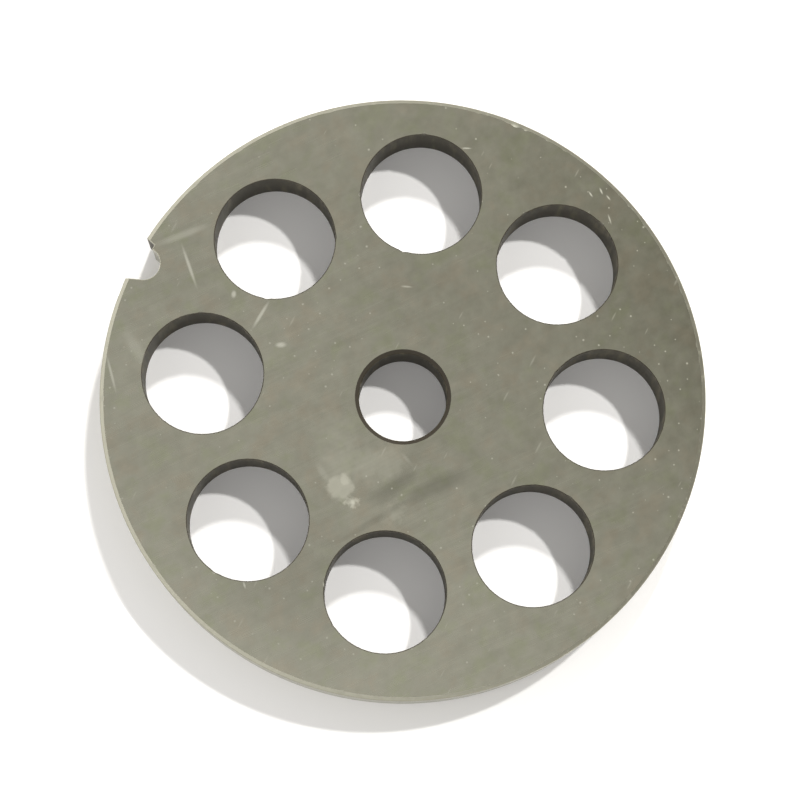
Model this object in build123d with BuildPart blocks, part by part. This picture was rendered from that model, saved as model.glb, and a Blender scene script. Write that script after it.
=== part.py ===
from build123d import *
import os
from math import sqrt

# Coarse grinder plate of size 12: one steel disc, turned, ground on both faces and drilled,
# with a bore for the feed screw's journal and a notch in the rim for the key in the head.
# Millimetres. The origin is on the bore's axis in the back face, +Z runs up the bore to the
# front face, and +Y runs out through the middle of the notch.

# Disc
plate_diameter = 70.0
plate_thickness = 7.5
rim_chamfer = 0.45

# Centre bore
bore_diameter = 10.2
bore_chamfer = 0.45

# Feed holes, in a ring that was drilled a little off the bore's axis
hole_count = 8
hole_diameter = 14.0
hole_chamfer = 0.15
ring_diameter = 46.5
ring_shift_x = 0.55
ring_shift_y = 0.25

# Notch: a round pocket that opens to the rim through a flared mouth. On the -X side the mouth
# runs into the pocket without a corner, and on the +X side it leaves a small step.
notch_depth = 3.05
pocket_diameter = 3.9
pocket_shift = 0.15
mouth_width = 5.3
step_depth = 1.25
step_length = 0.55
mouth_overrun = 1.0  # how far the cut runs on past the rim

plate_radius = plate_diameter / 2
bore_radius = bore_diameter / 2
hole_radius = hole_diameter / 2
pocket_radius = pocket_diameter / 2
pocket_centre = (-pocket_shift, plate_radius - notch_depth + pocket_radius)
step_y = plate_radius - step_depth
step_inner = Vector(pocket_centre[0] + sqrt(pocket_radius**2 - (step_y - pocket_centre[1]) ** 2), step_y)
step_outer = step_inner + Vector(step_length, 0)
mouth_y = sqrt(plate_radius**2 - (mouth_width / 2) ** 2)
mouth_left = Vector(-mouth_width / 2, mouth_y)
mouth_right = Vector(mouth_width / 2, mouth_y)

with BuildPart() as plate:
    # The turned blank: half of its section, from the bore to the rim, with the bevels of both faces.
    with BuildSketch(Plane.XZ):
        with BuildLine():
            Polyline(
                (bore_radius, bore_chamfer),
                (bore_radius + bore_chamfer, 0),
                (plate_radius - rim_chamfer, 0),
                (plate_radius, rim_chamfer),
                (plate_radius, plate_thickness - rim_chamfer),
                (plate_radius - rim_chamfer, plate_thickness),
                (bore_radius + bore_chamfer, plate_thickness),
                (bore_radius, plate_thickness - bore_chamfer),
                close=True,
            )
        make_face()
    revolve(axis=Axis.Z)

    # Feed holes straight through, the two nearest the notch standing alike on either side of it.
    with Locations((ring_shift_x, ring_shift_y, 0)):
        with PolarLocations(ring_diameter / 2, hole_count, start_angle=90 + 180 / hole_count):
            Hole(hole_radius)
    chamfer(plate.edges(Select.LAST).filter_by(GeomType.CIRCLE), hole_chamfer)

    # The notch's outline, cut through from face to face.
    with BuildSketch():
        with BuildLine():
            pocket = CenterArc(pocket_centre, pocket_radius, 90, 270, mode=Mode.PRIVATE)
            flank = ConstrainedLines(
                pocket.edge(), mouth_left, selector=lambda lines: lines.sort_by(Axis.Y).first
            )
            ThreePointArc(flank @ 0, (pocket_centre[0], plate_radius - notch_depth), step_inner)
            Polyline(
                step_inner,
                step_outer,
                mouth_right + (mouth_right - step_outer).normalized() * mouth_overrun,
                mouth_left + (flank % 1) * mouth_overrun,
                mouth_left,
            )
        make_face()
    extrude(amount=plate_thickness, mode=Mode.SUBTRACT)

plate.part.label = "plate"

os.makedirs("parts", exist_ok=True)
export_step(plate.part, "parts/plate.step")
print("volume", round(plate.part.volume, 1), "mm3, box", plate.part.bounding_box().size)
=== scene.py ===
from math import asin, atan2, cos, pi, radians, sin, sqrt

import bmesh
import bpy
import numpy as np
from mathutils import Matrix, Vector


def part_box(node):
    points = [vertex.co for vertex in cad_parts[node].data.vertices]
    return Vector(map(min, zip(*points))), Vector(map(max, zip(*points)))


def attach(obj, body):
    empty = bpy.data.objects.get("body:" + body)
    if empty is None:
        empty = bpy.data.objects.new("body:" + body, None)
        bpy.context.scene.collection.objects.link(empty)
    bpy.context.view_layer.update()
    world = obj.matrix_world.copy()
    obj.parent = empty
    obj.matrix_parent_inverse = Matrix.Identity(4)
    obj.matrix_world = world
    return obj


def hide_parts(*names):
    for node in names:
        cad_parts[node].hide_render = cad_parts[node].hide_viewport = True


# A one-piece grinder plate: a thick steel disc with eight feed holes, a bore and a
# locating notch in its rim. Lengths in the dictionaries are millimetres.

mm = 0.001
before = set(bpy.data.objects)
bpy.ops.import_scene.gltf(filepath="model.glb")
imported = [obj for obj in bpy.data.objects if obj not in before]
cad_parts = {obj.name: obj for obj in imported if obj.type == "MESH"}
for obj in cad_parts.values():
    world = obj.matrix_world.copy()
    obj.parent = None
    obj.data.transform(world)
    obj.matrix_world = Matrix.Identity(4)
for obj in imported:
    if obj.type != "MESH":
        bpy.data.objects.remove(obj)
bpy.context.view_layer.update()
low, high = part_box("plate")
rimRadius = (high.x - low.x) / 2 / mm
thickness = (high.z - low.z) / mm
print("frame loaded: plate", round(rimRadius * 2, 2), "across,", round(thickness, 2), "thick")

plate = {
    "holes": 8,
    "holeRadius": 7.0,
    "ringRadius": 23.25,
    "ringCentre": (0.55, 0.25),    # the ring of holes sits a little off the bore
    "boreRadius": 5.1,
    "pocketCentre": (-0.15, 33.9),
    "pocketRadius": 1.95,
    "mouthWidth": 5.3,
    "stepDepth": 1.25,
    "stepLength": 0.55,
    "rimEdge": 0.45,               # width of each broken edge, a straight 45 degree cut
    "boreEdge": 0.45,
    "holeEdge": 0.10,
    "notchEdge": 0.07,
    "border": 0.08,                # flat strip that keeps the shading of each edge to itself
    "edgeRows": (0, 0, 0.03, 0.1, 0.22, 0.4, 0.6, 0.8, 0.93, 1.0),   # in shares of the widest edge
    "wallRows": 5,
    "rimSteps": 96,                # along the rim in each of the eight sectors
    "pocketSteps": (22, 14),       # on either side of the border between two sectors
    "flankSteps": 2,
    "boreSteps": 14,
    "spokeSteps": 42,
    "faceSteps": 4,
    "smoothTurn": 0.985,           # runs whose normals agree to this cosine make no corner
    "waves": 0.006,                # how uneven the broken edges are
    "waveCounts": (17, 29, 47, 83, 131),
    "dingDrop": 0.22,              # how far down a ding fades out
    "dingFull": 0.25,              # a ding as deep as this is all bare metal, painted lighter also as a glint off its dented facets
    "holeGrease": 0.95,            # the bore's wall is the darkest
    "weld": 5e-7,                  # metres
    "sharpAngle": 38,
    "seed": 11,
}
eighth = 2 * pi / plate["holes"]
onRim, inPocket, onStep = 0, 1, 2   # kinds of run along an outline

# Dings in the front edge of the rim: direction in degrees, half width, depth.
rimDings = [
    (5.4, 0.55, 0.26), (3.2, 0.30, 0.20), (7.1, 0.22, 0.14), (-1.5, 0.20, 0.12),
    (-5.3, 0.25, 0.10), (-21.8, 0.25, 0.12), (-26.6, 0.40, 0.10), (-35.1, 0.22, 0.12),
    (-41.2, 0.35, 0.10), (-52.2, 0.45, 0.12), (-55.3, 0.30, 0.10), (-69.0, 0.40, 0.08),
    (13.0, 0.20, 0.08), (42.0, 0.50, 0.07), (61.0, 0.35, 0.08), (72.0, 0.60, 0.07),
    (118.0, 0.25, 0.08), (152.0, 0.20, 0.07), (196.0, 0.30, 0.08), (243.0, 0.25, 0.07),
]

# Dings in the holes' front edges: hole, counted round from the notch, direction from its middle,
# half width, depth.
holeDings = [
    (6, 118, 0.28, 0.20), (6, 25, 0.22, 0.16), (6, 190, 0.30, 0.14), (5, 60, 0.25, 0.18),
    (5, -20, 0.30, 0.16), (7, 200, 0.25, 0.16), (7, -60, 0.20, 0.12), (1, 175, 0.22, 0.22),
    (0, 30, 0.25, 0.12), (2, 150, 0.25, 0.12), (3, -10, 0.25, 0.12), (4, 80, 0.25, 0.12),
]


# Points start + t (stop - start). The normal points out of the steel, right of the way along.
def linePiece(start, stop, count, kind):
    start, stop = np.array(start), np.array(stop)
    share = np.arange(count)[:, None] / count
    way = (stop - start) / np.hypot(*(stop - start))
    normal = np.array([way[1], -way[0]])
    return start + share * (stop - start), np.tile(normal, (count, 1)), normal, kind


# Points centre + radius (cos a, sin a) for a from start to stop. The normal is side times that
# unit vector.
def arcPiece(centre, radius, start, stop, count, side, kind):
    angle = start + (stop - start) * np.arange(count + 1) / count
    unit = np.stack([np.cos(angle), np.sin(angle)], 1)
    return np.array(centre) + radius * unit[:-1], side * unit[:-1], side * unit[-1], kind


# The angle round the bore at which a ray from the ring's centre leaves a circle of that radius.
def rayAngle(direction, radius):
    centre, way = np.array(plate["ringCentre"]), np.array([cos(direction), sin(direction)])
    along = -centre @ way + sqrt((centre @ way) ** 2 - centre @ centre + radius**2)
    x, y = centre + along * way
    return atan2(y, x) % (2 * pi)


# One closed path from its pieces; each point keeps the normal and kind of the runs on both sides.
def joinPieces(pieces):
    path = {
        "points": np.concatenate([piece[0] for piece in pieces]),
        "after": np.concatenate([piece[1] for piece in pieces]),
        "kindAfter": np.concatenate([np.full(len(piece[0]), piece[3]) for piece in pieces]),
        "starts": np.cumsum([0] + [len(piece[0]) for piece in pieces[:-1]]),
    }
    path["before"] = path["after"].copy()
    path["kindBefore"] = path["kindAfter"].copy()
    for place, previous in zip(path["starts"], [pieces[-1]] + pieces[:-1]):
        path["before"][place] = previous[2]
        path["kindBefore"][place] = previous[3]
    return path


# The outline, counter-clockwise from the middle of the notch: pocket, flank, rim, step, pocket.
def rimPath():
    pocket, radius = np.array(plate["pocketCentre"]), plate["pocketRadius"]
    mouthX = plate["mouthWidth"] / 2
    mouthY = sqrt(rimRadius**2 - mouthX**2)
    stepY = rimRadius - plate["stepDepth"]
    innerX = pocket[0] + sqrt(radius**2 - (stepY - pocket[1]) ** 2)
    outerX = innerX + plate["stepLength"]
    # the flank runs from the mouth's corner to where it touches the pocket
    reach = np.array([-mouthX, mouthY]) - pocket
    touch = atan2(reach[1], reach[0]) + np.arccos(radius / np.hypot(*reach))
    touchPoint = pocket + radius * np.array([cos(touch), sin(touch)])
    splitX = plate["ringCentre"][0] - pocket[0]
    split = -atan2(sqrt(radius**2 - splitX**2), splitX)
    stepAngle = atan2(stepY - pocket[1], innerX - pocket[0])
    corner = asin(mouthX / rimRadius)
    rays = np.unwrap([rayAngle(pi / 2 + k * eighth, rimRadius) for k in range(1, plate["holes"])])
    bounds = [pi / 2 + corner, *rays, 2.5 * pi - corner]
    leftSteps, rightSteps = plate["pocketSteps"]
    flankSteps = plate["flankSteps"]
    pieces = [
        arcPiece(pocket, radius, split, touch - 2 * pi, leftSteps, -1, inPocket),
        linePiece(touchPoint, (-mouthX, mouthY), flankSteps, inPocket),
    ]
    pieces += [arcPiece((0, 0), rimRadius, first, last, plate["rimSteps"], 1, onRim)
               for first, last in zip(bounds[:-1], bounds[1:])]
    pieces += [
        linePiece((mouthX, mouthY), (outerX, stepY), flankSteps, onStep),
        linePiece((outerX, stepY), (innerX, stepY), flankSteps, onStep),
        arcPiece(pocket, radius, stepAngle, split, rightSteps, -1, inPocket),
    ]
    path = joinPieces(pieces)
    # one stretch for each sector; the second arc of the rim starts the second of them
    path["cuts"] = [0, *path["starts"][3:2 + plate["holes"]], len(path["points"])]
    return path


# A round hole's edge: centre + radius (cos a, sin a), the normal pointing into the hole.
def circlePath(centre, radius, angles):
    unit = np.stack([np.cos(angles), np.sin(angles)], 1)
    kind = np.full(len(angles), onRim)
    return {"points": np.array(centre) + radius * unit, "before": -unit, "after": -unit,
            "kindBefore": kind, "kindAfter": kind}


# Carries the wall's section along a path. An edge of width w stands back by w - depth, and the
# flat border beyond it by a little more. Every point steps back along its normal by that inset
# plus the dings; at a corner it goes where the insets of both runs meet.
def carryProfile(path, widths, dings):
    widest = max(widths)
    depths = widest * np.array(plate["edgeRows"])
    insets = [np.clip(width - depths, 0, None) for width in widths]
    for inset in insets:
        inset[0] += plate["border"]
    count = plate["wallRows"]
    middle = np.linspace(widest, thickness - widest, count + 2)[1:-1]
    heights = np.concatenate([thickness - depths, thickness - middle, depths[::-1]])
    sections = [np.concatenate([inset, np.zeros(count), inset[::-1]]) for inset in insets]
    before = np.where(path["kindBefore"][:, None] == onRim, sections[0], sections[-1])
    after = np.where(path["kindAfter"][:, None] == onRim, sections[0], sections[-1])
    fade = np.exp(-((thickness - heights) / plate["dingDrop"]) ** 2)
    dent = dings[:, None] * fade
    n1, n2 = path["before"], path["after"]
    even = (n1 * n2).sum(1)[:, None]
    smooth = even > plate["smoothTurn"]
    turn = np.where(smooth, 0.0, even)
    shift1 = -(before - turn * after) / (1 - turn**2)
    shift2 = -(after - turn * before) / (1 - turn**2)
    cornered = shift1[:, :, None] * n1[:, None] + shift2[:, :, None] * n2[:, None]
    plain = -(after + dent)[:, :, None] * n2[:, None]
    flat = path["points"][:, None] + np.where(smooth[:, :, None], plain, cornered)
    grid = np.concatenate([flat, np.broadcast_to(heights[:, None], (*flat.shape[:2], 1))], 2)
    rows = np.arange(len(heights))
    fromEnd = np.minimum(rows, rows[::-1])
    belowTop = fromEnd > 1
    edge = belowTop & (fromEnd < len(depths) - 1)
    wall = fromEnd >= len(depths) - 2
    masks = {
        "edge": np.broadcast_to(edge, flat.shape[:2]) * 1.0,
        "wall": np.broadcast_to(wall, flat.shape[:2]) * 1.0,
        # dings: bare metal, and also a painted glint off the dented facets
        "ding": np.clip(dent * belowTop / plate["dingFull"], 0, 1) ** 2,
    }
    return grid, masks


# Small uneven waves along a closed edge, plus exp(-(s/w)^2) at each ding, where s is the distance
# along the edge.
def edgeDings(angles, radius, dings, seed):
    random = np.random.default_rng(seed)
    total = np.zeros(len(angles))
    for count in plate["waveCounts"]:
        height, start = random.normal(), random.uniform(0, 2 * pi)
        total += plate["waves"] * height * np.sin(count * angles + start)
    total = np.abs(total)
    for direction, width, depth in dings:
        away = (angles - radians(direction) + pi) % (2 * pi) - pi
        total += depth * np.exp(-((away * radius / width) ** 2))
    return total


maskNames = ("edge", "wall", "ding", "inside")


# The grids of one sector: a hole's wall, then its share of the front and of the back face. A face
# is ruled, border + t (loop - border), where the loop is that hole's share of rim, spokes and bore.
def sectorGrids(k, rimGrid, rimPlaces, boreGrid, borePlaces):
    direction = pi / 2 + (k + 0.5) * eighth
    centre = np.array(plate["ringCentre"])
    centre = centre + plate["ringRadius"] * np.array([cos(direction), sin(direction)])
    share = np.linspace(0, 1, plate["spokeSteps"] + 1)[:, None]
    loops = []
    for side in (0, -1):   # the front face, then the back
        outer, inner = rimGrid[rimPlaces, side], boreGrid[borePlaces, side]
        first = inner[0] + share * (outer[0] - inner[0])
        last = inner[-1] + share * (outer[-1] - inner[-1])
        loops.append(np.concatenate([outer[:-1], last[:0:-1], inner[:0:-1], first[:-1]]))
    # the hole's points stand half way between even steps and where the loop's points are seen
    reach = loops[0][:, :2] - centre
    seen = np.unwrap(np.arctan2(reach[:, 1], reach[:, 0]))
    even = seen[0] + 2 * pi * np.arange(len(seen)) / len(seen)
    angles = (seen + even) / 2
    radius = plate["holeRadius"]
    ownDings = [ding[1:] for ding in holeDings if ding[0] == k]
    dings = edgeDings(angles, radius, ownDings, plate["seed"] + 2 + k)
    grid, masks = carryProfile(circlePath(centre, radius, angles), (plate["holeEdge"],), dings)
    masks["inside"] = plate["holeGrease"] * np.clip(masks["edge"] + masks["wall"], 0, 1)
    grids = [(grid, masks)]
    across = np.linspace(0, 1, plate["faceSteps"] + 1)[None, :, None]
    for side, loop in zip((0, -1), loops):
        border = grid[:, side][:, None]
        grids.append((border + across * (loop[:, None] - border), {}))
    return grids


# Every grid of the plate: the rim's wall, the bore's, and those of the eight sectors.
def plateGrids():
    rim = rimPath()
    rimAngles = np.arctan2(rim["points"][:, 1], rim["points"][:, 0])
    plainRim = (rim["kindAfter"] == onRim) & (rim["kindBefore"] == onRim)
    dings = edgeDings(rimAngles, rimRadius, rimDings, plate["seed"]) * plainRim
    rimGrid, rimMasks = carryProfile(rim, (plate["rimEdge"], plate["notchEdge"]), dings)
    # painted shade: the wall of the notch's step takes the holes' dark grease colour, dark like the
    # shade in that corner
    rimMasks["inside"] = (rim["kindAfter"] == onStep)[:, None] * rimMasks["wall"]

    radius, steps = plate["boreRadius"], plate["boreSteps"]
    rays = np.unwrap([rayAngle(pi / 2 + k * eighth, radius) for k in range(plate["holes"] + 1)])
    angles = np.concatenate([np.linspace(first, last, steps, endpoint=False)
                             for first, last in zip(rays[:-1], rays[1:])])
    dings = edgeDings(angles, radius, [], plate["seed"] + 1)
    bore = circlePath((0, 0), radius, angles)
    boreGrid, boreMasks = carryProfile(bore, (plate["boreEdge"],), dings)
    boreMasks["inside"] = np.clip(boreMasks["edge"] + boreMasks["wall"], 0, 1)

    grids = [(rimGrid, rimMasks), (boreGrid, boreMasks)]
    for k in range(plate["holes"]):
        rimPlaces = np.arange(rim["cuts"][k], rim["cuts"][k + 1] + 1) % len(rimGrid)
        borePlaces = np.arange(k * steps, (k + 1) * steps + 1) % len(boreGrid)
        grids += sectorGrids(k, rimGrid, rimPlaces, boreGrid, borePlaces)
    return grids


# Joins grids that close round on themselves into one welded mesh with a value per mask and point.
def buildMesh(name, grids):
    points, quads, values = [], [], []
    total = 0
    for grid, masks in grids:
        columns, rows = grid.shape[:2]
        index = total + np.arange(columns * rows).reshape(columns, rows)
        nextIndex = np.roll(index, -1, 0)
        corners = [index[:, :-1], nextIndex[:, :-1], nextIndex[:, 1:], index[:, 1:]]
        quads.append(np.stack([corner.ravel() for corner in corners], 1))
        points.append(grid.reshape(-1, 3) * mm)
        empty = np.zeros((columns, rows))
        values.append(np.stack([masks.get(key, empty).ravel() for key in maskNames], 1))
        total += columns * rows
    mesh = bpy.data.meshes.new(name)
    mesh.from_pydata(np.concatenate(points), [], np.concatenate(quads))
    values = np.concatenate(values).astype(np.float32)
    for column, key in enumerate(maskNames):
        attribute = mesh.attributes.new(key, "FLOAT", "POINT")
        attribute.data.foreach_set("value", np.ascontiguousarray(values[:, column]))
    welded = bmesh.new()
    welded.from_mesh(mesh)
    bmesh.ops.remove_doubles(welded, verts=welded.verts, dist=plate["weld"])
    bmesh.ops.recalc_face_normals(welded, faces=welded.faces)
    openEdges = sum(1 for edge in welded.edges if len(edge.link_faces) != 2)
    welded.to_mesh(mesh)
    welded.free()
    mesh.shade_smooth()
    mesh.set_sharp_from_angle(angle=radians(plate["sharpAngle"]))
    piece = bpy.data.objects.new(name, mesh)
    bpy.context.scene.collection.objects.link(piece)
    print(name, "has", len(mesh.polygons), "faces,", openEdges, "open edges")
    return piece


platePiece = buildMesh("grinderPlate", plateGrids())
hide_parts("plate")
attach(platePiece, "root")


# An 8 bit colour as the linear values that the shaders take.
def tone(red, green, blue):
    return [((c / 255 + 0.055) / 1.055) ** 2.4 for c in (red, green, blue)] + [1]


# Makes a node. Feeds holds a fixed value or another node's output for each input.
def put(tree, kind, feeds=None, **settings):
    node = tree.nodes.new(kind)
    for key, value in settings.items():
        setattr(node, key, value)
    for socket, source in (feeds or {}).items():
        if isinstance(source, bpy.types.NodeSocket):
            tree.links.new(source, node.inputs[socket])
        else:
            node.inputs[socket].default_value = source
    return node


# Lays the nodes out in columns: each stands one column after the last of those that feed it.
def arrange(tree):
    columns, filled = {}, {}
    for node in tree.nodes:
        feeding = [columns[link.from_node.name] for socket in node.inputs for link in socket.links]
        column = max(feeding, default=-1) + 1
        row = filled.get(column, 0)
        node.location = (200 * column, -240 * row)
        columns[node.name] = column
        filled[column] = row + 1


def calc(tree, operation, *values, clamp=False):
    feeds = dict(enumerate(values))
    return put(tree, "ShaderNodeMath", feeds, operation=operation, use_clamp=clamp).outputs[0]


def vectorCalc(tree, operation, *values, output="Vector"):
    feeds = dict(enumerate(values))
    return put(tree, "ShaderNodeVectorMath", feeds, operation=operation).outputs[output]


# Strongest of several masks.
def strongest(tree, *values):
    total = values[0]
    for value in values[1:]:
        total = calc(tree, "MAXIMUM", total, value)
    return total


# Runs smoothly from low at start to high at stop.
def ramp(tree, value, start, stop, low=0.0, high=1.0):
    feeds = {"Value": value, "From Min": start, "From Max": stop, "To Min": low, "To Max": high}
    return put(tree, "ShaderNodeMapRange", feeds, interpolation_type="SMOOTHSTEP").outputs[0]


def blend(tree, share, first, second):
    return put(tree, "ShaderNodeMix", {0: share, 2: first, 3: second}).outputs[0]


def blendColor(tree, share, first, second, mode="MIX"):
    feeds = {0: share, 6: first, 7: second}
    return put(tree, "ShaderNodeMix", feeds, data_type="RGBA", blend_type=mode).outputs[2]


def joinAxes(tree, x=0.0, y=0.0, z=0.0):
    return put(tree, "ShaderNodeCombineXYZ", {0: x, 1: y, 2: z}).outputs[0]


def splitAxes(tree, vector):
    return put(tree, "ShaderNodeSeparateXYZ", {0: vector}).outputs


def noise(tree, vector, scale, detail, roughness):
    feeds = {"Vector": vector, "Scale": scale, "Detail": detail, "Roughness": roughness}
    return put(tree, "ShaderNodeTexNoise", feeds).outputs["Fac"]


def newGroup(name, inputs, output):
    tree = bpy.data.node_groups.new(name, "ShaderNodeTree")
    for label, kind in inputs.items():
        tree.interface.new_socket(name=label, in_out="INPUT", socket_type="NodeSocket" + kind)
    tree.interface.new_socket(name=output, in_out="OUTPUT", socket_type="NodeSocketFloat")
    return tree, put(tree, "NodeGroupInput").outputs


def closeGroup(tree, value):
    put(tree, "NodeGroupOutput", {0: value})
    arrange(tree)
    return tree


# Places one of the groups below with its own values and hands back its output.
def useGroup(tree, group, feeds):
    return put(tree, "ShaderNodeGroup", feeds, node_tree=group).outputs[0]


effects = {
    "swayNoise": (0.12, 1.0, 0.5),   # scale per millimetre, detail, roughness
    "sway": 0.7,                     # how far the grinding marks wander
    "grainRoughness": 0.6,
    "scratchCore": 0.1,              # a scratch is full up to this part of its size
    "scratchSkin": 0.5,              # and gone from this one on
    "speckCore": 0.3,
    "smallestSpeck": 0.4,
}


# Long narrow noise that lies along one direction in the plate's plane.
def makeGrain():
    inputs = {"Position": "Vector", "Angle": "Float", "Length": "Float", "Width": "Float",
              "Detail": "Float"}
    tree, given = newGroup("grindGrain", inputs, "Height")
    back = calc(tree, "MULTIPLY", given["Angle"], -1.0)
    turned = put(tree, "ShaderNodeVectorRotate", {"Vector": given["Position"], "Angle": back},
                 rotation_type="Z_AXIS").outputs[0]
    x, y, z = splitAxes(tree, turned)
    wander = noise(tree, turned, *effects["swayNoise"])
    across = calc(tree, "MULTIPLY_ADD", wander, effects["sway"], y)
    stretched = joinAxes(tree, calc(tree, "DIVIDE", x, given["Length"]),
                         calc(tree, "DIVIDE", across, given["Width"]),
                         calc(tree, "DIVIDE", z, given["Width"]))
    return closeGroup(tree, noise(tree, stretched, 1.0, given["Detail"], effects["grainRoughness"]))


# A straight mark that tapers to both ends: full in the core of a thin ellipsoid, 0 at its skin.
def makeScratch():
    inputs = {"Position": "Vector", "Middle": "Vector", "Angle": "Float", "Length": "Float",
              "Width": "Float", "Strength": "Float"}
    tree, given = newGroup("scratchLine", inputs, "Mask")
    turn = joinAxes(tree, z=given["Angle"])
    size = joinAxes(tree, given["Length"], given["Width"], given["Width"])
    local = put(tree, "ShaderNodeMapping", {
        "Vector": given["Position"], "Location": given["Middle"], "Rotation": turn,
        "Scale": size}, vector_type="TEXTURE").outputs[0]
    away = vectorCalc(tree, "LENGTH", local, output="Value")
    skin, core = effects["scratchSkin"], effects["scratchCore"]
    return closeGroup(tree, ramp(tree, away, skin, core, 0.0, given["Strength"]))


# A soft round patch, pushed in and out by a noise value so that its border is ragged.
def makePatch():
    inputs = {"Position": "Vector", "Centre": "Vector", "Radius": "Float", "Softness": "Float",
              "Raggedness": "Float", "Noise": "Float"}
    tree, given = newGroup("softPatch", inputs, "Mask")
    away = vectorCalc(tree, "DISTANCE", given["Position"], given["Centre"], output="Value")
    centred = calc(tree, "SUBTRACT", given["Noise"], 0.5)
    pushed = calc(tree, "MULTIPLY_ADD", centred, given["Raggedness"], away)
    inside = calc(tree, "SUBTRACT", given["Radius"], pushed)
    return closeGroup(tree, ramp(tree, calc(tree, "DIVIDE", inside, given["Softness"]), 0.0, 1.0))


# Tiny dots scattered over the XY plane, one to a cell, in only a share of the cells.
def makeSpecks():
    inputs = {"Position": "Vector", "Spacing": "Float", "Share": "Float", "Size": "Float"}
    tree, given = newGroup("specks", inputs, "Mask")
    scale = calc(tree, "DIVIDE", 1.0, given["Spacing"])
    cells = put(tree, "ShaderNodeTexVoronoi", {"Vector": given["Position"], "Scale": scale},
                voronoi_dimensions="2D").outputs
    away = calc(tree, "MULTIPLY", cells["Distance"], given["Spacing"])
    first, second = put(tree, "ShaderNodeSeparateColor", {0: cells["Color"]}).outputs[:2]
    larger = calc(tree, "ADD", second, effects["smallestSpeck"])
    size = calc(tree, "MULTIPLY", given["Size"], larger)
    dot = ramp(tree, calc(tree, "DIVIDE", away, size), effects["speckCore"], 1.0, 1.0, 0.0)
    chosen = calc(tree, "LESS_THAN", first, given["Share"])
    return closeGroup(tree, calc(tree, "MULTIPLY", dot, chosen))


grindGrain = makeGrain()
scratchLine = makeScratch()
softPatch = makePatch()
specks = makeSpecks()
print("effects ready")

steel = {
    # the ground faces: a dark and a light tone and what share of each pattern mixes them
    "dark": (78, 76, 62),
    "light": (163, 161, 145),
    "meanShare": 0.598,
    "toneAndShadeLean": (-0.0092, 0.0039, 0),       # painted shade, partly the face's own tone: how the share changes per millimetre along X and Y, darker towards +X
    "bend": 0.00003,                    # with x squared
    "twist": 0.00017,                   # and with x times y
    "grainAngle": radians(-37.5),       # the way the face was ground
    "coarseGrain": {"Length": 22.0, "Width": 1.2, "Detail": 2.0},
    "coarseShare": 0.15,
    "fineGrain": {"Length": 6.0, "Width": 0.3, "Detail": 1.0},
    "fineShare": 0.017,
    "grainFade": (-0.35, 0.1, 0.3, 1.0),   # the grain is fainter where the painted shade of the lean makes the face dark
    "cloudNoise": (0.09, 3.0, 0.55),    # scale per millimetre, detail, roughness
    "cloudShare": 0.18,
    "mottleNoise": (0.55, 4.0, 0.65),
    "mottleShare": 0.32,
    "tintNoise": (0.3, 3.0, 0.6),
    "warm": (1.05, 0.97, 0.93, 1),      # factors of the tone where that noise is high
    "warmRange": (0.48, 0.7, 0.0, 0.6),
    "green": (0.94, 0.99, 0.84, 1),     # and where it is low
    "greenRange": (0.5, 0.3, 0.0, 0.6),
    # marks on the faces
    "bare": (186, 184, 169),            # fresh metal in scratches and on worn edges, and in dings also a painted glint of the light off their dented facets
    "streak": (75, 73, 63),
    "haze": (173, 171, 157),
    "frayNoise": (1.3, 4.0, 0.65),
    "nick": {"Spacing": 1.7, "Size": 0.13},
    "nickStrength": 0.6,
    "nickRange": (0.4, 0.65, 0.08, 0.5),   # more of them where the clouds are light
    "dash": {"Spacing": 1.1, "Share": 0.12, "Size": 0.12},
    "dashStrength": 0.25,
    "dashAngle": radians(52),
    "dashSquash": (0.16, 1.0, 1.0),
    # edges
    "edge": (113, 111, 97),
    "edgeSheen": (181, 179, 163),       # painted sheen: the rim's edge lighter on one side, as its bevel would mirror brighter surroundings there
    "sheenAzimuth": radians(130),
    "holeEdge": (62, 56, 45),
    "wornRange": (0.5, 0.75, 0.0, 0.3),
    # walls: turning lines round the rim, runs of burnt-on grease down the holes, and the same dark
    # colour as painted shade on the notch's step
    "rimWall": (131, 128, 112),
    "rimLight": (173, 170, 152),
    "turnedScale": (0.25, 0.25, 7.0),
    "turnedNoise": (1.0, 3.0, 0.6),
    "wall": (51, 46, 29),
    "wallStreak": (98, 91, 68),
    "runScale": (1.0, 1.0, 0.12),
    "runNoise": (0.8, 3.0, 0.6),
    "runRange": (0.45, 0.75, 0.0, 0.8),
    # finish
    "roughness": 0.27,
    "fineRoughness": 0.03,
    "hazeRoughness": 0.25,
    "edgeRoughness": 0.45,
    "wallRoughness": 0.6,
    "wallMetallic": 0.4,
    "coarseDepth": 0.6,                 # of the fine grain's
    "grainDepth": 0.3e-6,               # metres
}

# Scratches on the front face: middle, direction in degrees, length, width, strength.
scratches = [
    ((2.0, 29.0), 47, 6.6, 0.55, 0.9), ((4.9, 31.4), -41, 8.4, 1.2, 0.42),
    ((-13.3, 31.0), 42, 5.6, 0.46, 0.85), ((-9.3, 30.0), 60, 6.5, 2.0, 0.34),
    ((0.8, 19.0), -3, 4.6, 0.58, 0.95), ((11.6, 5.6), -67, 1.8, 0.32, 0.6),
    ((-12.1, 4.1), 61, 3.6, 1.1, 0.26), ((-6.2, -3.7), 68, 2.6, 0.6, 0.2),
    ((-27.7, 6.0), 45, 1.1, 0.34, 1.0), ((1.5, 22.9), 20, 1.2, 0.80, 1.0),
    ((-1.2, 15.3), -60, 1.7, 0.90, 1.0), ((-13.6, -0.6), 30, 1.0, 0.7, 0.5),
    ((32.1, -9.2), 52, 1.1, 0.30, 0.9), ((31.2, -8.3), 62, 1.0, 0.26, 0.9),
    ((31.8, -10.3), 66, 1.0, 0.26, 0.8), ((29.3, 7.0), -64, 1.5, 0.28, 0.8),
    ((29.6, -11.6), 45, 1.6, 0.26, 0.7), ((-23.5, -2.1), 45, 1.1, 0.30, 0.8),
]

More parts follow.
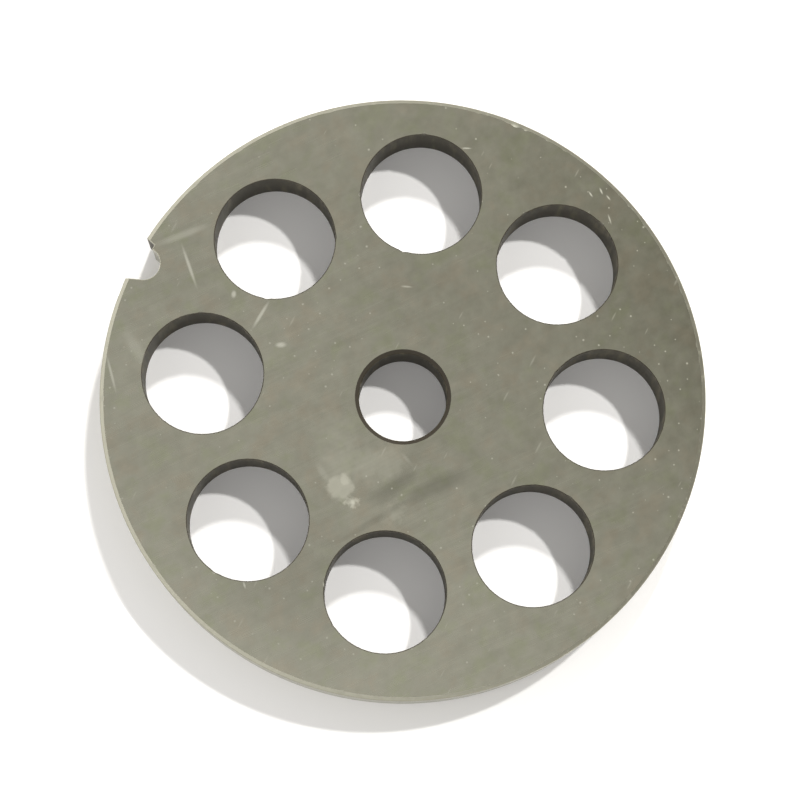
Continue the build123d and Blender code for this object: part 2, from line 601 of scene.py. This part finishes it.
# Dark streaks and one broad dull place, in the same terms as the scratches.
streaks = [
    ((-7.4, -8.2), -37, 11.5, 3.2, 0.32), ((-9.8, -3.9), -26, 8.5, 3.0, 0.3),
    ((-14.1, -3.8), -31, 17.5, 1.2, 0.2), ((-24.0, 3.0), 70, 34.0, 22.0, 0.18),
]

# Soft pale patches on the front face: middle, radius, softness, raggedness, strength.
hazes = [
    ((-10.2, 2.6), 3.4, 2.8, 3.0, 0.17), ((-9.0, 0.2), 3.2, 2.6, 3.0, 0.17),
    ((-7.6, -1.8), 2.8, 2.0, 2.4, 0.15), ((-7.7, 4.4), 4.4, 5.0, 4.0, 0.15),
    ((-12.5, -5.2), 1.9, 2.4, 5.0, 0.18), ((-20.0, 0.5), 1.8, 2.8, 4.0, 0.12),
    ((-12.6, 1.5), 1.85, 0.8, 1.5, 0.36), ((-11.7, 1.5), 1.15, 0.8, 1.3, 0.50),
    ((-13.5, -0.4), 0.95, 0.7, 2.6, 0.48),
]


def lineMark(tree, place, middle, direction, length, width, strength):
    return useGroup(tree, scratchLine, {
        "Position": place, "Middle": (*middle, thickness), "Angle": radians(direction),
        "Length": length, "Width": width, "Strength": strength})


def patchMark(tree, place, frayed, middle, radius, softness, raggedness, strength):
    patch = useGroup(tree, softPatch, {
        "Position": place, "Centre": (*middle, thickness), "Radius": radius, "Softness": softness,
        "Raggedness": raggedness, "Noise": frayed})
    return calc(tree, "MULTIPLY", patch, strength)


# The tone of the ground faces, and the two grains. The share of the light tone is the mean, plus
# a painted shade gradient, lean . (x, y) + x (bend x + twist y), which darkens the face towards +X
# as the light falls and is partly its own tone, plus what each pattern has above or below its
# middle.
def buildTone(tree, place, cloudy):
    x, y, _ = splitAxes(tree, place)
    toneAndShadeLean = vectorCalc(tree, "DOT_PRODUCT", place, steel["toneAndShadeLean"], output="Value")
    twist = calc(tree, "MULTIPLY", y, steel["twist"])
    bend = calc(tree, "MULTIPLY_ADD", x, steel["bend"], twist)
    share = calc(tree, "MULTIPLY_ADD", x, bend, toneAndShadeLean)
    fade = ramp(tree, toneAndShadeLean, *steel["grainFade"])
    grains = []
    for key in ("coarseGrain", "fineGrain"):
        feeds = {"Position": place, "Angle": steel["grainAngle"], **steel[key]}
        above = calc(tree, "SUBTRACT", useGroup(tree, grindGrain, feeds), 0.5)
        grains.append(calc(tree, "MULTIPLY_ADD", above, fade, 0.5))
    mottled = noise(tree, place, *steel["mottleNoise"])
    patterns = (*grains, cloudy, mottled)
    for value, key in zip(patterns, ("coarseShare", "fineShare", "cloudShare", "mottleShare")):
        above = calc(tree, "SUBTRACT", value, 0.5)
        share = calc(tree, "MULTIPLY_ADD", above, steel[key], share)
    share = calc(tree, "ADD", share, steel["meanShare"], clamp=True)
    color = blendColor(tree, share, tone(*steel["dark"]), tone(*steel["light"]))
    tint = noise(tree, place, *steel["tintNoise"])
    for key in ("warm", "green"):
        amount = ramp(tree, tint, *steel[key + "Range"])
        color = blendColor(tree, amount, color, steel[key], "MULTIPLY")
    return color, *grains


# Nicks and short dashes, only on the flat faces.
def buildNicks(tree, place, cloudy, masks):
    feeds = {"Position": place, "Share": ramp(tree, cloudy, *steel["nickRange"]), **steel["nick"]}
    nicks = calc(tree, "MULTIPLY", useGroup(tree, specks, feeds), steel["nickStrength"])
    turn = (0, 0, steel["dashAngle"])
    laid = put(tree, "ShaderNodeMapping", {
        "Vector": place, "Rotation": turn, "Scale": steel["dashSquash"]}).outputs[0]
    dashes = useGroup(tree, specks, {"Position": laid, **steel["dash"]})
    dashes = calc(tree, "MULTIPLY", dashes, steel["dashStrength"])
    noWall = calc(tree, "SUBTRACT", 1.0, masks["wall"])
    onFlat = calc(tree, "SUBTRACT", noWall, masks["edge"], clamp=True)
    return calc(tree, "MULTIPLY", strongest(tree, nicks, dashes), onFlat)


# The broken edges: dark with grease round the holes, and on the rim a painted sheen that makes one
# side lighter.
def buildEdgeColor(tree, place, inside):
    azimuth = steel["sheenAzimuth"]
    toward = vectorCalc(tree, "DOT_PRODUCT", place, (cos(azimuth), sin(azimuth), 0), output="Value")
    # painted sheen: the rim's bevel lighter towards one side
    paintedSheen = ramp(tree, toward, -rimRadius, rimRadius)
    color = blendColor(tree, paintedSheen, tone(*steel["edge"]), tone(*steel["edgeSheen"]))
    return blendColor(tree, inside, color, tone(*steel["holeEdge"]))


# The walls: turning lines round the rim, grease with pale runs in the holes, and the same dark
# colour as painted shade on the notch's step.
def buildWallColor(tree, place, inside):
    rings = vectorCalc(tree, "MULTIPLY", place, steel["turnedScale"])
    turned = noise(tree, rings, *steel["turnedNoise"])
    rim = blendColor(tree, turned, tone(*steel["rimWall"]), tone(*steel["rimLight"]))
    upright = vectorCalc(tree, "MULTIPLY", place, steel["runScale"])
    runs = ramp(tree, noise(tree, upright, *steel["runNoise"]), *steel["runRange"])
    greasy = blendColor(tree, runs, tone(*steel["wall"]), tone(*steel["wallStreak"]))
    return blendColor(tree, inside, rim, greasy), turned


def buildSteel():
    material = bpy.data.materials.new("wornSteel")
    material.use_nodes = True
    tree = material.node_tree
    tree.nodes.clear()
    coords = put(tree, "ShaderNodeTexCoord").outputs["Object"]
    feeds = {0: coords, "Scale": 1 / mm}
    place = put(tree, "ShaderNodeVectorMath", feeds, operation="SCALE").outputs[0]
    masks = {key: put(tree, "ShaderNodeAttribute", attribute_name=key).outputs["Fac"]
             for key in maskNames}
    edge, wall, inside = masks["edge"], masks["wall"], masks["inside"]
    cloudy = noise(tree, place, *steel["cloudNoise"])
    frayed = noise(tree, place, *steel["frayNoise"])

    color, coarse, fine = buildTone(tree, place, cloudy)
    marks = strongest(tree, *[lineMark(tree, place, *facts) for facts in scratches])
    streak = strongest(tree, *[lineMark(tree, place, *facts) for facts in streaks])
    haze = strongest(tree, *[patchMark(tree, place, frayed, *facts) for facts in hazes])
    nicks = buildNicks(tree, place, cloudy, masks)
    outerEdge = calc(tree, "SUBTRACT", edge, inside, clamp=True)
    worn = calc(tree, "MULTIPLY", ramp(tree, frayed, *steel["wornRange"]), outerEdge)
    # dings: bare metal, painted lighter also as a glint off the dented facets
    worn = strongest(tree, worn, masks["ding"])
    bare = strongest(tree, marks, nicks, worn)
    color = blendColor(tree, streak, color, tone(*steel["streak"]))
    color = blendColor(tree, haze, color, tone(*steel["haze"]))
    color = blendColor(tree, edge, color, buildEdgeColor(tree, place, inside))
    color = blendColor(tree, bare, color, tone(*steel["bare"]))
    wallColor, turned = buildWallColor(tree, place, inside)
    unworn = calc(tree, "SUBTRACT", 1.0, worn, clamp=True)
    color = blendColor(tree, calc(tree, "MULTIPLY", wall, unworn), color, wallColor)

    above = calc(tree, "SUBTRACT", fine, 0.5)
    rough = calc(tree, "MULTIPLY_ADD", above, steel["fineRoughness"], steel["roughness"])
    rough = calc(tree, "MULTIPLY_ADD", haze, steel["hazeRoughness"], rough)
    rough = blend(tree, edge, rough, steel["edgeRoughness"])
    rough = blend(tree, inside, rough, steel["wallRoughness"])
    metallic = calc(tree, "MULTIPLY_ADD", inside, steel["wallMetallic"] - 1.0, 1.0)
    height = calc(tree, "MULTIPLY_ADD", coarse, steel["coarseDepth"], fine)
    height = calc(tree, "MULTIPLY", blend(tree, wall, height, turned), steel["grainDepth"])
    feeds = {"Height": height, "Strength": 1.0, "Distance": 1.0}
    bump = put(tree, "ShaderNodeBump", feeds).outputs[0]
    shader = put(tree, "ShaderNodeBsdfPrincipled", {
        "Base Color": color, "Roughness": rough, "Metallic": metallic, "Normal": bump}).outputs[0]
    put(tree, "ShaderNodeOutputMaterial", {"Surface": shader})
    arrange(tree)
    return material


platePiece.data.materials.append(buildSteel())
print("steel ready")

studio = {
    "floorSize": 3.0,                # metres
    "floorColor": (0.93, 0.912, 0.888, 1),
    "floorGlow": 0.07,               # only where the floor is shown
    "zenith": 0.57,
    "horizon": 0.38,
    "sideGlow": 3.8,
    "sideAzimuth": radians(140),
    "sideSharpness": 1.5,
    "lamps": {
        "lampA": {"place": (446, -206, 714), "diameter": 38, "level": 0.47},
        "lampB": {"place": (748, 134, 855), "diameter": 75, "level": 0.47},
    },
}


# 1 for rays that show a surface, straight, mirrored or through glass, and 0 for the light it casts.
def shownRays(tree):
    path = put(tree, "ShaderNodeLightPath").outputs
    return strongest(tree, *[path[key] for key in (
        "Is Camera Ray", "Is Glossy Ray", "Is Transmission Ray")])


# A pale sheet of paper that shows white around the plate and keeps its shadow.
def buildFloor():
    half = studio["floorSize"] / 2
    corners = [(-half, -half, 0), (half, -half, 0), (half, half, 0), (-half, half, 0)]
    mesh = bpy.data.meshes.new("floor")
    mesh.from_pydata(corners, [], [(0, 1, 2, 3)])
    floor = bpy.data.objects.new("floor", mesh)
    bpy.context.scene.collection.objects.link(floor)
    paper = bpy.data.materials.new("paper")
    paper.use_nodes = True
    tree = paper.node_tree
    tree.nodes.clear()
    matte = put(tree, "ShaderNodeBsdfDiffuse", {"Color": studio["floorColor"]}).outputs[0]
    strength = calc(tree, "MULTIPLY", shownRays(tree), studio["floorGlow"])
    glow = put(tree, "ShaderNodeEmission", {"Strength": strength}).outputs[0]
    both = put(tree, "ShaderNodeAddShader", {0: matte, 1: glow}).outputs[0]
    put(tree, "ShaderNodeOutputMaterial", {"Surface": both})
    arrange(tree)
    mesh.materials.append(paper)


# A round lamp that points at the plate. On the floor there it adds its level.
def buildLamp(name, facts):
    place = Vector(facts["place"]) * mm
    lamp = bpy.data.lights.new(name, "AREA")
    lamp.shape = "DISK"
    lamp.size = facts["diameter"] * mm
    lamp.energy = facts["level"] * pi**2 * place.length_squared / place.normalized().z
    holder = bpy.data.objects.new(name, lamp)
    bpy.context.scene.collection.objects.link(holder)
    holder.location = place
    holder.rotation_euler = place.to_track_quat("Z", "Y").to_euler()


# Soft light from all round, brightest from one side near the horizon, and plain white where it is
# shown: horizon + side ((1 + way . sideway) / 2)^sharpness, going over smoothly into the zenith.
def buildSky():
    world = bpy.data.worlds.new("sky")
    bpy.context.scene.world = world
    world.use_nodes = True
    tree = world.node_tree
    tree.nodes.clear()
    azimuth = studio["sideAzimuth"]
    way = put(tree, "ShaderNodeTexCoord").outputs["Generated"]
    toward = vectorCalc(tree, "DOT_PRODUCT", way, (cos(azimuth), sin(azimuth), 0), output="Value")
    share = calc(tree, "MULTIPLY_ADD", toward, 0.5, 0.5, clamp=True)
    sharp = calc(tree, "POWER", share, studio["sideSharpness"])
    horizon = calc(tree, "MULTIPLY_ADD", sharp, studio["sideGlow"], studio["horizon"])
    light = ramp(tree, splitAxes(tree, way)[2], 0.0, 1.0, horizon, studio["zenith"])
    level = blend(tree, shownRays(tree), light, 1.0)
    back = put(tree, "ShaderNodeBackground", {"Strength": level}).outputs[0]
    put(tree, "ShaderNodeOutputWorld", {"Surface": back})
    arrange(tree)


cameraFacts = {
    "target": (-0.49, 0.14, 7.5),
    "distance": 404.1,
    "azimuth": -157.35,
    "elevation": 82.52,
    "roll": 5.04,
    "lens": 157.7,
    "sensor": 36,
    "clip": (0.01, 20),   # metres
}


# The camera stands at its distance, azimuth and elevation from the target, rolled about its axis.
def buildCamera():
    azimuth, elevation = radians(cameraFacts["azimuth"]), radians(cameraFacts["elevation"])
    back = Vector((cos(azimuth) * cos(elevation), sin(azimuth) * cos(elevation), sin(elevation)))
    camera = bpy.data.cameras.new("camera")
    camera.lens = cameraFacts["lens"]
    camera.sensor_width = cameraFacts["sensor"]
    camera.clip_start, camera.clip_end = cameraFacts["clip"]
    holder = bpy.data.objects.new("camera", camera)
    bpy.context.scene.collection.objects.link(holder)
    upright = back.to_track_quat("Z", "Y").to_matrix().to_4x4()
    turn = Matrix.Rotation(radians(cameraFacts["roll"]), 4, "Z")
    place = Vector(cameraFacts["target"]) + back * cameraFacts["distance"]
    holder.matrix_world = Matrix.Translation(place * mm) @ upright @ turn
    bpy.context.scene.camera = holder


buildFloor()
for name, facts in studio["lamps"].items():
    buildLamp(name, facts)
buildSky()
buildCamera()
bpy.context.scene.view_settings.view_transform = "Standard"
print("studio ready")
